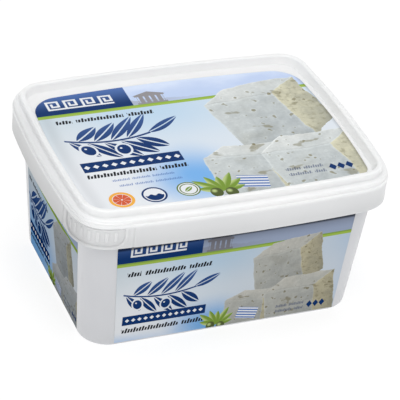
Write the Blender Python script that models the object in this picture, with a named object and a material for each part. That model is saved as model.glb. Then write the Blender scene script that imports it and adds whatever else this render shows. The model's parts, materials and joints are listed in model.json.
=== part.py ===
"""A shut rectangular plastic cheese tub with a press-on lid, a corner pull tab and film labels.

Metres, +Z up. The origin is the centre of the base, +X runs along the long front side,
and the front face looks along -Y.
"""
import math

import bmesh
import bpy
from mathutils import Vector

MM = 0.001

# Lid skirt: half sizes at the corners, corner radius, corner fullness and how far each side bows out
SKIRT_X = 73.0 * MM
SKIRT_Y = 56.0 * MM
SKIRT_RADIUS = 20.2 * MM
SKIRT_POWER = 3.2
SKIRT_BOW_X = 3.06 * MM
SKIRT_BOW_Y = 3.02 * MM
SKIRT_BOTTOM = 59.7 * MM
SKIRT_TOP = 70.9 * MM
SKIRT_WALL = 1.2 * MM

# Bead round the top of the skirt, the fine groove over it and the ledge inside them
BEAD_TOP = 71.9 * MM
BEAD_BULGE = 0.25 * MM
GROOVE_DEPTH = 0.55 * MM
GROOVE_TOP = 72.9 * MM
LEDGE_TOP = 73.95 * MM
LEDGE_EDGE = 0.4 * MM
LEDGE_ROUND = 0.8 * MM

# Raised rim round the label panel
RIM_INSET_X = 2.93 * MM
RIM_INSET_Y = 3.15 * MM
RIM_RADIUS = 11.2 * MM
RIM_POWER = 2.27
RIM_BOW_X = 1.93 * MM
RIM_BOW_Y = 2.65 * MM
RIM_TOP = 77.5 * MM
RIM_WIDTH = 2.5 * MM
RIM_ROUND = 1.0 * MM
RIM_FOOT = 0.6 * MM
RIM_DRAFT = 0.35 * MM
PANEL_TOP = 74.2 * MM
PANEL_UNDERSIDE = 72.7 * MM

# Tub: half sizes of the base and of the wall where it meets the skirt
BASE_X = 64.95 * MM
BASE_Y = 48.14 * MM
BASE_RADIUS = 13.2 * MM
BASE_ROUND = 0.8 * MM
MOUTH_X = 67.76 * MM
MOUTH_Y = 51.1 * MM
MOUTH_RADIUS = 8.84 * MM
MOUTH_BOW_X = 2.36 * MM
MOUTH_BOW_Y = 1.38 * MM
TUB_LEVELS = 6
FLANGE_BOTTOM = 61.5 * MM
FLANGE_EDGE = 0.5 * MM

# Free space between neighbouring pieces
GAP = 0.3 * MM

# Film labels: thickness, how proud of the wall they are, and the pockets that they lie in
FILM = 0.3 * MM
PROUD = 0.05 * MM
POCKET_REACH = 3.0 * MM
LABEL_BOTTOM = 1.2 * MM
LABEL_TOP = 61.1 * MM
FRONT_LABEL_CENTRE = 1.1 * MM
FRONT_LABEL_HALF_LOW = 53.3 * MM
FRONT_LABEL_HALF_HIGH = 56.7 * MM
SIDE_LABEL_HALF_LOW = 34.0 * MM
SIDE_LABEL_HALF_HIGH = 37.3 * MM
LABEL_COLUMNS = 8
LABEL_ROWS = 4

# Lid label
LID_LABEL_CENTRE = (-1.3 * MM, -2.9 * MM)
LID_LABEL_X = 64.6 * MM
LID_LABEL_Y = 45.5 * MM
LID_LABEL_BACK_RADIUS = 11.0 * MM
LID_LABEL_FRONT_RADIUS = 5.0 * MM
LID_LABEL_BOW_X = 2.5 * MM
LID_LABEL_BOW_Y = 2.8 * MM

# Pull tab on the front left corner of the skirt: a sunk field in a low frame, with grip ribs
TAB_END = 0.9 * MM
TAB_FRAME = 1.0 * MM
TAB_FRAME_HEIGHT = 0.3 * MM
TAB_FRAME_ROUND = 6.5 * MM
TAB_FRAME_TOP = 70.8 * MM
TAB_FIELD_DEPTH = 0.65 * MM
TAB_FIELD_BOTTOM = 61.1 * MM
TAB_FIELD_TOP = 70.1 * MM
TAB_FIELD_ROUND = 5.3 * MM
TAB_STEPS = 9
RIB_COUNT = 7
RIB_WIDTH = 1.0 * MM
RIB_HEIGHT = 0.4 * MM
RIB_BOTTOM = 63.4 * MM
RIB_TOP = 68.4 * MM
RIB_SPAN = 0.74
NOTCH_FROM_END = 2.8 * MM
NOTCH_WIDTH = 0.8 * MM
NOTCH_DEPTH = 0.6 * MM
NOTCH_TOP = 70.2 * MM

# Points along one corner and one side of every ring
CORNER_STEPS = 8
SIDE_STEPS = 6
ROUND_STEPS = 3
CREASE_ANGLE = math.radians(32)


def clear_scene():
    for thing in list(bpy.data.objects):
        bpy.data.objects.remove(thing, do_unlink=True)


def make_collection(name):
    collection = bpy.data.collections.new(name)
    bpy.context.scene.collection.children.link(collection)
    return collection


def make_material(name, colour, roughness):
    material = bpy.data.materials.new(name)
    material.use_nodes = True
    shader = material.node_tree.nodes["Principled BSDF"]
    shader.inputs["Base Color"].default_value = (*colour, 1.0)
    shader.inputs["Roughness"].default_value = roughness
    shader.inputs["Metallic"].default_value = 0.0
    material.diffuse_color = (*colour, 1.0)
    return material


def blend(low, high, part):
    return low + (high - low) * part


def bowed(x, y, half_x, half_y, bow_x, bow_y):
    """Push a point of a rectangle outward so that the middle of each side bows by its amount."""
    new_x = x + bow_x * (1.0 - (y / half_y) ** 2) * x / half_x
    new_y = y + bow_y * (1.0 - (x / half_x) ** 2) * y / half_y
    return new_x, new_y


def outline(half_x, half_y, radii, power, bow_x, bow_y):
    """Counter-clockwise points of a rectangle with full round corners and bowed sides.

    The four radii start at the back right corner.
    """
    points = []
    for quarter in range(4):
        radius = radii[quarter]
        next_radius = radii[(quarter + 1) % 4]
        sign_x = (1, -1, -1, 1)[quarter]
        sign_y = (1, 1, -1, -1)[quarter]
        corner = []
        for step in range(CORNER_STEPS + 1):
            angle = 0.5 * math.pi * step / CORNER_STEPS
            if quarter % 2:
                angle = 0.5 * math.pi - angle
            x = sign_x * (half_x - radius + radius * max(math.cos(angle), 0.0) ** (2.0 / power))
            y = sign_y * (half_y - radius + radius * max(math.sin(angle), 0.0) ** (2.0 / power))
            corner.append((x, y))
        points.extend(corner)
        along_x = quarter % 2 == 0
        for step in range(1, SIDE_STEPS):
            part = step / SIDE_STEPS
            if along_x:
                reach = blend(half_x - radius, next_radius - half_x, part)
                points.append((sign_x * reach, sign_y * half_y))
            else:
                reach = blend(half_y - radius, next_radius - half_y, part)
                points.append((sign_x * half_x, sign_y * reach))
    return [bowed(x, y, half_x, half_y, bow_x, bow_y) for x, y in points]


def ring(points, height, centre=(0.0, 0.0)):
    return [Vector((x + centre[0], y + centre[1], height)) for x, y in points]


def skirt_ring(inset, height):
    points = outline(SKIRT_X - inset, SKIRT_Y - inset, [SKIRT_RADIUS - inset] * 4, SKIRT_POWER,
                     SKIRT_BOW_X, SKIRT_BOW_Y)
    return ring(points, height)


def rim_ring(inset, height):
    points = outline(SKIRT_X - RIM_INSET_X - inset, SKIRT_Y - RIM_INSET_Y - inset,
                     [RIM_RADIUS - inset] * 4, RIM_POWER, RIM_BOW_X, RIM_BOW_Y)
    return ring(points, height)


def lid_label_ring(grow, height):
    back = LID_LABEL_BACK_RADIUS + grow
    front = LID_LABEL_FRONT_RADIUS + grow
    points = outline(LID_LABEL_X + grow, LID_LABEL_Y + grow, (back, back, front, front), 2.0,
                     LID_LABEL_BOW_X, LID_LABEL_BOW_Y)
    return ring(points, height, LID_LABEL_CENTRE)


def tub_sizes(height):
    """Half sizes, corner radius and bows of the tub's wall at a height."""
    part = height / SKIRT_BOTTOM
    return (blend(BASE_X, MOUTH_X, part), blend(BASE_Y, MOUTH_Y, part),
            blend(BASE_RADIUS, MOUTH_RADIUS, part), MOUTH_BOW_X * part, MOUTH_BOW_Y * part)


def tub_ring(inset, height):
    half_x, half_y, radius, bow_x, bow_y = tub_sizes(height)
    points = outline(half_x - inset, half_y - inset, [radius - inset] * 4, 2.0, bow_x, bow_y)
    return ring(points, height)


def add_object(name, bm, collection, material=None):
    bmesh.ops.recalc_face_normals(bm, faces=bm.faces)
    mesh = bpy.data.meshes.new(name)
    bm.to_mesh(mesh)
    bm.free()
    mesh.shade_smooth()
    mesh.set_sharp_from_angle(angle=CREASE_ANGLE)
    thing = bpy.data.objects.new(name, mesh)
    collection.objects.link(thing)
    if material is not None:
        mesh.materials.append(material)
    else:
        thing.hide_render = True
        thing.display_type = "WIRE"
    return thing


def loft(name, rings, collection, material=None):
    """A closed solid through a stack of rings with equal point counts, capped at both ends."""
    bm = bmesh.new()
    stacks = [[bm.verts.new(point) for point in one] for one in rings]
    count = len(stacks[0])
    for low, high in zip(stacks, stacks[1:]):
        for index in range(count):
            after = (index + 1) % count
            bm.faces.new((low[index], low[after], high[after], high[index]))
    bm.faces.new(list(reversed(stacks[0])))
    bm.faces.new(stacks[-1])
    return add_object(name, bm, collection, material)


def rounding(radius):
    """Inset and drop at steps over a quarter round, from the wall to the top."""
    for step in range(ROUND_STEPS + 1):
        angle = 0.5 * math.pi * step / ROUND_STEPS
        yield radius * (1.0 - math.cos(angle)), radius * (1.0 - math.sin(angle))


def cut(thing, cutter, operation="DIFFERENCE"):
    change = thing.modifiers.new(operation.title() + " " + cutter.name, "BOOLEAN")
    change.operation = operation
    change.object = cutter
    change.solver = "EXACT"


# Tub


def make_tub(parts, material):
    rings = [tub_ring(inset, drop) for inset, drop in reversed(list(rounding(BASE_ROUND)))]
    for level in range(1, TUB_LEVELS + 1):
        rings.append(tub_ring(0.0, blend(BASE_ROUND, FLANGE_BOTTOM, level / TUB_LEVELS)))
    flange = SKIRT_WALL + GAP
    top = PANEL_UNDERSIDE - GAP
    rings.append(skirt_ring(flange, FLANGE_BOTTOM))
    rings.append(skirt_ring(flange, top - FLANGE_EDGE))
    rings.append(skirt_ring(flange + FLANGE_EDGE, top))
    return loft("tub", rings, parts, material)


# Labels on the tub's walls


def wall_point(side, along, height, offset):
    """A point on a wall: along runs with the side, offset is how far it stands off the wall."""
    half_x, half_y, radius, bow_x, bow_y = tub_sizes(height)
    if side in ("front", "back"):
        out = half_y + bow_y * (1.0 - (along / half_x) ** 2) + offset
        sign = -1.0 if side == "front" else 1.0
        return Vector((-sign * along, sign * out, height))
    out = half_x + bow_x * (1.0 - (along / half_y) ** 2) + offset
    sign = -1.0 if side == "left" else 1.0
    return Vector((sign * out, sign * along, height))


def wall_sheet(name, side, grow, inner, thickness, collection, material=None):
    """A sheet that follows a wall: grow widens it, inner is where its back lies off the wall."""
    long_side = side in ("front", "back")
    half_low = FRONT_LABEL_HALF_LOW if long_side else SIDE_LABEL_HALF_LOW
    half_high = FRONT_LABEL_HALF_HIGH if long_side else SIDE_LABEL_HALF_HIGH
    centre = FRONT_LABEL_CENTRE if long_side else 0.0
    bm = bmesh.new()
    bmesh.ops.create_grid(bm, x_segments=LABEL_COLUMNS, y_segments=LABEL_ROWS, size=1.0)
    for vert in bm.verts:
        part = 0.5 + 0.5 * vert.co.y
        height = blend(LABEL_BOTTOM - grow, LABEL_TOP + grow, part)
        along = centre + vert.co.x * (blend(half_low, half_high, part) + grow)
        vert.co = wall_point(side, along, height, inner)
    outward = {"front": (0, -1, 0), "back": (0, 1, 0), "left": (-1, 0, 0), "right": (1, 0, 0)}[side]
    facing = Vector(outward)
    back = list(bm.faces)
    if sum(face.normal.dot(facing) for face in back) > 0:
        bmesh.ops.reverse_faces(bm, faces=back)
    raised = bmesh.ops.extrude_face_region(bm, geom=back)["geom"]
    lifted = [item for item in raised if isinstance(item, bmesh.types.BMVert)]
    bmesh.ops.translate(bm, verts=lifted, vec=facing * thickness)
    return add_object(name, bm, collection, material)


def make_wall_labels(parts, cutters, tub, material):
    for side in ("front", "back", "left", "right"):
        back_of_film = PROUD - FILM
        wall_sheet(side + "_label", side, 0.0, back_of_film, FILM, parts, material)
        pocket = wall_sheet(side + "_pocket", side, GAP, back_of_film - GAP, POCKET_REACH, cutters)
        cut(tub, pocket)


# Lid


def make_lid(parts, material):
    inside = skirt_ring(SKIRT_WALL, PANEL_UNDERSIDE)
    rings = [inside, skirt_ring(SKIRT_WALL, SKIRT_BOTTOM)]
    rings.append(skirt_ring(LEDGE_EDGE, SKIRT_BOTTOM))
    rings.append(skirt_ring(0.0, SKIRT_BOTTOM + LEDGE_EDGE))
    rings.append(skirt_ring(0.0, SKIRT_TOP))
    rings.append(skirt_ring(-BEAD_BULGE, 0.5 * (SKIRT_TOP + BEAD_TOP)))
    rings.append(skirt_ring(0.0, BEAD_TOP))
    rings.append(skirt_ring(GROOVE_DEPTH, BEAD_TOP + BEAD_BULGE))
    rings.append(skirt_ring(GROOVE_DEPTH, GROOVE_TOP))
    for inset, drop in rounding(LEDGE_ROUND):
        rings.append(skirt_ring(LEDGE_EDGE + inset, LEDGE_TOP - drop))
    rings.append(rim_ring(-RIM_FOOT, LEDGE_TOP))
    rings.append(rim_ring(0.0, LEDGE_TOP + RIM_FOOT))
    for inset, drop in rounding(RIM_ROUND):
        rings.append(rim_ring(inset, RIM_TOP - drop))
    for inset, drop in reversed(list(rounding(RIM_ROUND))):
        rings.append(rim_ring(RIM_WIDTH - inset, RIM_TOP - drop))
    rings.append(rim_ring(RIM_WIDTH + RIM_DRAFT, PANEL_TOP))
    rings.append(lid_label_ring(GAP, PANEL_TOP))
    rings.append(lid_label_ring(GAP, PANEL_TOP + PROUD - FILM - GAP))
    return loft("lid", rings, parts, material)


def make_lid_label(parts, material):
    bottom = PANEL_TOP + PROUD - FILM
    return loft("lid_label", [lid_label_ring(0.0, bottom), lid_label_ring(0.0, bottom + FILM)],
                parts, material)


# Pull tab


def corner_point(share, mirrored, offset):
    """A point of the front left corner of the skirt; share is its part of the corner radius."""
    radius = SKIRT_RADIUS + offset
    other = (1.0 - share ** SKIRT_POWER) ** (1.0 / SKIRT_POWER)
    from_x, from_y = (other, share) if mirrored else (share, other)
    half_x = SKIRT_X + offset
    half_y = SKIRT_Y + offset
    x = -(half_x - radius + radius * from_x)
    y = -(half_y - radius + radius * from_y)
    return bowed(x, y, half_x, half_y, SKIRT_BOW_X, SKIRT_BOW_Y)


def corner_shares(start):
    """Share and mirror flag of points round the corner, from the left side to the front."""
    diagonal = 0.5 ** (1.0 / SKIRT_POWER)
    half = [(blend(start, diagonal, step / TAB_STEPS), True) for step in range(TAB_STEPS + 1)]
    return half + [(share, False) for share, mirrored in reversed(half[:-1])]


def corner_lengths(places):
    """Distance along the skirt of each place, from the first one."""
    spots = [Vector(corner_point(share, mirrored, 0.0)) for share, mirrored in places]
    lengths = [0.0]
    for before, after in zip(spots, spots[1:]):
        lengths.append(lengths[-1] + (after - before).length)
    return lengths


def tab_band(name, start, inner, outer, bottom, top, radius, cutters):
    """A band round the corner whose lower corners are round, between two offsets of the skirt."""
    places = corner_shares(start)
    for extra in (0.25, 0.5, 0.75):
        share = blend(places[0][0], places[1][0], extra * extra)
        places.append((share, True))
        places.append((share, False))
    front = sorted([p for p in places if not p[1]], key=lambda p: -p[0])
    left = sorted([p for p in places if p[1]], key=lambda p: p[0])
    places = left + front
    lengths = corner_lengths(places)
    rings = []
    for (share, mirrored), length in zip(places, lengths):
        from_end = min(length, lengths[-1] - length)
        low = bottom
        if from_end < radius:
            low = bottom + radius - math.sqrt(radius ** 2 - (radius - from_end) ** 2)
        near = corner_point(share, mirrored, inner)
        far = corner_point(share, mirrored, outer)
        rings.append([Vector((*near, low)), Vector((*far, low)),
                      Vector((*far, top)), Vector((*near, top))])
    return loft(name, rings, cutters)


def make_tab(lid, cutters):
    start = TAB_END / SKIRT_RADIUS
    field_start = (TAB_END + TAB_FRAME) / SKIRT_RADIUS
    frame = tab_band("tab_frame", start, -0.5 * SKIRT_WALL, TAB_FRAME_HEIGHT,
                     SKIRT_BOTTOM, TAB_FRAME_TOP, TAB_FRAME_ROUND, cutters)
    cut(lid, frame, "UNION")
    field = tab_band("tab_field", field_start, -TAB_FIELD_DEPTH, POCKET_REACH,
                     TAB_FIELD_BOTTOM, TAB_FIELD_TOP, TAB_FIELD_ROUND, cutters)
    cut(lid, field)
    make_ribs(lid, cutters)
    make_notches(lid, cutters)


def upright_box(name, spot, heading, width, depth, bottom, top, cutters):
    """A box on end: its depth runs along the heading, and spot is the middle of its plan."""
    bm = bmesh.new()
    bmesh.ops.create_cube(bm, size=1.0)
    box = add_object(name, bm, cutters)
    box.scale = (depth, width, top - bottom)
    box.rotation_euler = (0.0, 0.0, heading)
    box.location = (spot[0], spot[1], 0.5 * (bottom + top))
    return box


def make_ribs(lid, cutters):
    places = corner_shares((TAB_END + TAB_FRAME) / SKIRT_RADIUS)
    lengths = corner_lengths(places)
    for number in range(RIB_COUNT):
        part = 0.5 + RIB_SPAN * (number / (RIB_COUNT - 1) - 0.5)
        wanted = part * lengths[-1]
        index = max(i for i, length in enumerate(lengths[:-1]) if length <= wanted)
        mix = (wanted - lengths[index]) / (lengths[index + 1] - lengths[index])
        floor = [Vector(corner_point(share, mirrored, -TAB_FIELD_DEPTH))
                 for share, mirrored in places[index:index + 2]]
        spot = floor[0].lerp(floor[1], mix)
        run = floor[1] - floor[0]
        heading = math.atan2(-run.x, run.y)
        box = upright_box("tab_rib_%d" % (number + 1), spot, heading, RIB_WIDTH,
                          2.0 * RIB_HEIGHT, RIB_BOTTOM, RIB_TOP, cutters)
        cut(lid, box, "UNION")


def make_notches(lid, cutters):
    """The slits past both ends of the tab, where the skirt tears."""
    front_x = -(SKIRT_X - SKIRT_RADIUS + TAB_END - NOTCH_FROM_END)
    front_y = -(SKIRT_Y + SKIRT_BOW_Y * (1.0 - (front_x / SKIRT_X) ** 2))
    left_y = -(SKIRT_Y - SKIRT_RADIUS + TAB_END - NOTCH_FROM_END)
    left_x = -(SKIRT_X + SKIRT_BOW_X * (1.0 - (left_y / SKIRT_Y) ** 2))
    bottom = SKIRT_BOTTOM - POCKET_REACH
    for name, spot, heading in (("front_notch", (front_x, front_y), 0.5 * math.pi),
                                ("left_notch", (left_x, left_y), 0.0)):
        box = upright_box(name, spot, heading, NOTCH_WIDTH, 2.0 * NOTCH_DEPTH, bottom,
                          NOTCH_TOP, cutters)
        cut(lid, box)


def main():
    clear_scene()
    parts = make_collection("cheese_tub")
    cutters = make_collection("cutters")
    white_plastic = make_material("white_plastic", (0.86, 0.87, 0.87), 0.35)
    lid_plastic = make_material("lid_plastic", (0.9, 0.91, 0.91), 0.32)
    wall_film = make_material("wall_film", (0.5, 0.66, 0.8), 0.3)
    lid_film = make_material("lid_film", (0.6, 0.75, 0.88), 0.3)
    tub = make_tub(parts, white_plastic)
    make_wall_labels(parts, cutters, tub, wall_film)
    lid = make_lid(parts, lid_plastic)
    make_tab(lid, cutters)
    make_lid_label(parts, lid_film)


main()
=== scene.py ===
"""Dresses a shut cheese tub: satin white plastic, printed films and a small photo studio."""

import json
import math
from functools import partialmethod

import bmesh
import bpy
from bpy.props import FloatProperty, FloatVectorProperty, IntProperty, PointerProperty
from mathutils import Matrix, Vector

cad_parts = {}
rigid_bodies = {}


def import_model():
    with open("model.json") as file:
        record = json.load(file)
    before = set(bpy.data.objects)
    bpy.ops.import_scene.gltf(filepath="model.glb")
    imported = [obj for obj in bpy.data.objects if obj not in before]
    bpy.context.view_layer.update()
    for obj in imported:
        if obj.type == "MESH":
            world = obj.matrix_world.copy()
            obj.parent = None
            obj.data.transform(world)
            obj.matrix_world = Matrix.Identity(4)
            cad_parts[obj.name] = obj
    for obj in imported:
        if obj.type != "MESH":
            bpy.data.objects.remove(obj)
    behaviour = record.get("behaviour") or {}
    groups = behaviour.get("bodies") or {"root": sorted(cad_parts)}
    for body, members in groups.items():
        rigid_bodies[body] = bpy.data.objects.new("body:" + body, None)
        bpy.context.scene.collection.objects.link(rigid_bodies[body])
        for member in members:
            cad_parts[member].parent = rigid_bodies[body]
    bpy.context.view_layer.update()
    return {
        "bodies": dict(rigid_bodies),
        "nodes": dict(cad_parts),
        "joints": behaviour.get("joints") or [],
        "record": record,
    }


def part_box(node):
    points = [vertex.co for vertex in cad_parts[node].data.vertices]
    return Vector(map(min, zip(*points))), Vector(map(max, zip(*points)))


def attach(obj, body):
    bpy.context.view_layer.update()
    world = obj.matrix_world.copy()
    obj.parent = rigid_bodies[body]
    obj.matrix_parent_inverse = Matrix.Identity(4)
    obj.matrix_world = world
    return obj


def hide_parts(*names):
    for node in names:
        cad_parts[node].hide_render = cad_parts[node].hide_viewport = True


bl_info = {
    "name": "Cheese Tub",
    "version": (1, 0, 0),
    "blender": (4, 5, 0),
    "location": "3D View > Sidebar > Cheese Tub",
    "description": "Models a shut plastic cheese tub with printed films and a studio",
    "category": "Object",
}

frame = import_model()
LID_LOW, LID_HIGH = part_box("lid")
TUB_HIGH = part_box("tub")[1]
FILM_LOW, FILM_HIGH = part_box("lid_label")
WALL_LOW, WALL_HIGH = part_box("front_label")
SIDE_LOW, SIDE_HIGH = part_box("left_label")
MM = 0.001


# Sizes and colours


def linear(level):
    """A display value of 0 to 255 as the linear one that shaders use."""
    share = level / 255
    return share / 12.92 if share <= 0.04045 else ((share + 0.055) / 1.055) ** 2.4


def title(key):
    return key.replace("_", " ").capitalize()


def lengths(**rows):
    """Length properties from rows of a description and a value in millimetres."""
    return {key: FloatProperty(name=title(key), description=text, default=value * MM,
                               unit="LENGTH", precision=5)
            for key, (text, value) in rows.items()}


def tones(**rows):
    """Colour properties from rows of a description and red, green and blue display values."""
    return {key: FloatVectorProperty(name=title(key), description=text, subtype="COLOR",
                                     default=[linear(level) for level in levels], min=0, max=1)
            for key, (text, *levels) in rows.items()}


TUB_LENGTHS = lengths(
    bead=("How far the bead stands out", 0.25),
    # The painted shade on the skirt fades in over this height below the bead.
    bead_soft=("Height of the fade below the bead", 1.6),
    skirt_bow_x=("Bow of the lid's short sides", 3.06),
    skirt_bow_y=("Bow of the lid's long sides", 3.02),
    skirt_radius=("Corner radius of the skirt", 20.2),
    skirt_wall=("Thickness of the skirt", 1.2),
    skirt_top=("Height of the bead's foot", 70.3),
    bead_top=("Height of the bead's top", 71.9),
    groove=("Depth of the groove over the bead", 0.34),
    groove_top=("Height of the groove's top", 72.9),
    ledge_top=("Height of the ledge round the rim", 73.95),
    ledge_inset=("Inset of the ledge's edge", 0.4),
    ledge_round=("Radius of the ledge's edge", 0.8),
    rim_inset_x=("Rim's distance from the skirt's end", 2.93),
    rim_inset_y=("Rim's distance from the skirt's side", 3.15),
    rim_radius=("Corner radius of the rim", 11.2),
    rim_bow_x=("Bow of the rim's short sides", 1.93),
    rim_bow_y=("Bow of the rim's long sides", 2.65),
    rim_width=("Width of the rim", 2.5),
    rim_round=("Radius of the rim's outer edge", 0.65),
    rim_inner_round=("Radius of the rim's inner edge", 1.1),
    rim_foot=("Radius of the rim's foot", 0.8),
    rim_draft=("Slope of the rim's inner wall", 0.95),
    recess_shift=("How far the recess lies left and front", 0.85),
    recess_foot=("Radius of the recess's foot", 0.5),
    panel_top=("Height of the panel", 74.2),
    base_x=("Half of the base's length", 64.95),
    base_y=("Half of the base's width", 48.14),
    base_radius=("Corner radius of the base", 13.2),
    base_round=("Radius of the base's edge", 0.9),
    mouth_x=("Half length of the wall at the skirt", 67.76),
    mouth_y=("Half width of the wall at the skirt", 51.1),
    mouth_radius=("Corner radius of the wall at the skirt", 8.84),
    mouth_bow_x=("Bow of the short walls at the skirt", 2.36),
    mouth_bow_y=("Bow of the long walls at the skirt", 1.38),
    flange_bottom=("Height of the flange's underside", 61.5),
    film_lift=("How far the films stand out", 0.05),
    film=("Thickness of the films", 0.08),
    film_bow_x=("Bow of the lid film's short sides", 2.5),
    film_bow_y=("Bow of the lid film's long sides", 2.8),
    film_back=("Radius of the lid film's back corners", 11),
    film_front=("Radius of the lid film's front corners", 5),
)


class TubShape(bpy.types.PropertyGroup):
    """Sizes of the tub and its lid."""
    __annotations__ = TUB_LENGTHS


TAB_LENGTHS = lengths(
    end=("Distance from the corner's end to the tab", 0.9),
    frame=("Width of the tab's frame", 1),
    frame_lift=("How far the frame stands out", 0.3),
    frame_round=("Radius of the frame's lower corners", 6.5),
    frame_top=("Height of the frame's top", 70.8),
    depth=("How deep the field is sunk", 0.35),
    seam=("Height of the seam along the field's top", 0.7),
    seam_depth=("Depth of the seam", 0.75),
    field_bottom=("Height of the field's lower edge", 61.1),
    field_top=("Height of the field's upper edge", 70.1),
    field_round=("Radius of the field's lower corners", 5.3),
    rib_width=("Width of a grip rib", 1.5),
    rib_lift=("How far a rib stands out", 0.5),
    rib_bottom=("Height of the ribs' lower ends", 63.4),
    rib_top=("Height of the ribs' upper ends", 68.4),
    notch_gap=("Distance from the tab to a tear slit", 2.8),
    notch_width=("Width of a tear slit", 1.1),
    notch_depth=("Depth of a tear slit", 0.3),
    notch_top=("Height of a tear slit's top", 70.2),
)


class TabShape(bpy.types.PropertyGroup):
    """Sizes of the pull tab on the lid's corner."""
    __annotations__ = TAB_LENGTHS
    rib_count: IntProperty(name="Ribs", description="Grip ribs in the field", default=7, min=2)
    rib_span: FloatProperty(name="Rib span", description="Share of the field that ribs fill",
                            default=0.74, min=0.1, max=1)


PACK_TONES = tones(
    lid_white=("Plastic of the lid", 248, 249, 250),
    # The tub's white is kept greyer than the lid's as painted shade.
    tub_white=("Plastic of the tub", 210, 211, 214),
    navy=("Deep blue field, branch and bar", 6, 50, 106),
    navy_light=("Upper edge of the deep blue field", 86, 120, 184),
    lavender=("Lower sky of the band", 198, 215, 246),
    cloud=("Upper sky of the band", 222, 234, 255),
    lime=("Stripe under the band", 146, 182, 62),
    lime_light=("Lower edge of the lime stripe", 162, 190, 80),
    paper=("White ground of the print", 234, 237, 241),
    mist=("Cool grey ground at the upper left", 204, 217, 225),
    pale_sky=("Pale blue ground of the print", 193, 218, 239),
    azure=("Strong blue glow of the ground", 124, 180, 236),
    dusk=("Shade over the sky band of the walls", 84, 88, 102),
    curd=("Lit parts of the cubes' front faces", 214, 219, 220),
    curd_shade=("Shaded parts of the front faces", 186, 193, 197),
    curd_top=("Upper faces of the cheese cubes", 238, 240, 239),
    cream=("Lit parts of the cubes' right faces", 223, 219, 194),
    cream_shade=("Shaded parts of the right faces", 178, 178, 163),
    pit=("Pits and cracks of the cheese", 146, 140, 112),
    leaf=("Olive leaves", 122, 152, 58),
    leaf_light=("Light side of olive leaves", 188, 206, 138),
    olive=("Olives", 84, 96, 52),
    ink=("Dark printed dashes", 26, 28, 36),
    orange=("Peel of the orange slice", 244, 178, 76),
    coral=("Flesh of the orange slice", 216, 96, 58),
    stone=("Small temple in the band", 150, 148, 152),
    floor=("Studio floor", 137, 137, 137),
)


class PackColours(bpy.types.PropertyGroup):
    """Colours of the plastic and the printed films."""
    __annotations__ = PACK_TONES


def settings():
    return bpy.context.scene.cheese_tub_shape


def tab_settings():
    return bpy.context.scene.cheese_tub_tab


def colours():
    return bpy.context.scene.cheese_tub_colours


# Outlines of the tub and the lid

SKIRT_POWER = 3.2
RIM_POWER = 2.27
ROUND_POWER = 2
TAB_QUARTER = 2


def between(start, end, part):
    return start + (end - start) * part


def bowed(x, y, half_x, half_y, bow_x, bow_y):
    """Push a point outward so that the middle of each side bows by its amount."""
    return (x + bow_x * (1 - (y / half_y) ** 2) * x / half_x,
            y + bow_y * (1 - (x / half_x) ** 2) * y / half_y)


def tab_angles(steps):
    """Corner angles whose points are evenly spaced on the skirt's full corner."""
    diagonal = 0.5 ** (1 / SKIRT_POWER)
    near = [math.acos((diagonal * step / steps) ** (0.5 * SKIRT_POWER))
            for step in range(steps + 1)]
    far = [0.5 * math.pi - angle for angle in reversed(near)]
    return sorted(near[:-1] + far)


class RingPlan:
    """How many points each corner and side of a ring gets; shared by all rings of a piece."""

    def __init__(self, corner_steps, side_steps, tab_steps=0, crowded=0, span=0):
        even = [step / side_steps for step in range(1, side_steps)]
        self.shares = [even] * 4
        self.angles = [[0.5 * math.pi * step / corner_steps
                        for step in range(corner_steps + 1)]] * 4
        if tab_steps:
            close = [span * step / crowded for step in range(1, crowded + 1)]
            close += [between(span, 1, share) for share in even]
            self.angles[TAB_QUARTER] = tab_angles(tab_steps)
            self.shares[TAB_QUARTER] = close
            self.shares[TAB_QUARTER - 1] = [1 - share for share in reversed(close)]

    def ring(self, half_x, half_y, radius, power, bow_x, bow_y, height, front=None):
        """Counter-clockwise points of a level rectangle with full corners and bowed sides, from
        the back right corner on; front is the radius of its two front corners."""
        low = radius if front is None else front
        radii = (radius, radius, low, low, radius)
        found = []
        for quarter, sign_x, sign_y in ((0, 1, 1), (1, -1, 1), (2, -1, -1), (3, 1, -1)):
            near, far = radii[quarter:quarter + 2]
            turned = quarter % 2 == 1
            for angle in self.angles[quarter]:
                across, up = math.cos(angle), math.sin(angle)
                if turned:
                    across, up = up, across
                x = half_x - near + near * max(across, 0) ** (2 / power)
                y = half_y - near + near * max(up, 0) ** (2 / power)
                found.append((sign_x * x, sign_y * y))
            half = half_y if turned else half_x
            for share in self.shares[quarter]:
                reach = between(half - near, far - half, share)
                found.append((sign_x * half_x, sign_y * reach) if turned
                             else (sign_x * reach, sign_y * half_y))
        return [Vector((*bowed(x, y, half_x, half_y, bow_x, bow_y), height)) for x, y in found]


def skirt_half():
    """Half sizes of the skirt at its corners, from the CAD lid's box."""
    s = settings()
    return LID_HIGH.x - s.bead - s.skirt_bow_x, LID_HIGH.y - s.bead - s.skirt_bow_y


def skirt_ring(plan, inset, height):
    s = settings()
    half_x, half_y = skirt_half()
    return plan.ring(half_x - inset, half_y - inset, s.skirt_radius - inset, SKIRT_POWER,
                     s.skirt_bow_x, s.skirt_bow_y, height)


def rim_ring(plan, inset, height):
    s = settings()
    half_x, half_y = skirt_half()
    return plan.ring(half_x - s.rim_inset_x - inset, half_y - s.rim_inset_y - inset,
                     s.rim_radius - inset, RIM_POWER, s.rim_bow_x, s.rim_bow_y, height)


def recess_ring(plan, inset, height):
    """A ring round the recess, which lies a little off the lid's middle."""
    shift = settings().recess_shift
    return [point - Vector((shift, shift, 0)) for point in rim_ring(plan, inset, height)]


def tub_sizes(height):
    """Half sizes, corner radius and bows of the tub's wall at a height."""
    s = settings()
    part = height / LID_LOW.z
    return (between(s.base_x, s.mouth_x, part), between(s.base_y, s.mouth_y, part),
            between(s.base_radius, s.mouth_radius, part), s.mouth_bow_x * part,
            s.mouth_bow_y * part)


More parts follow.
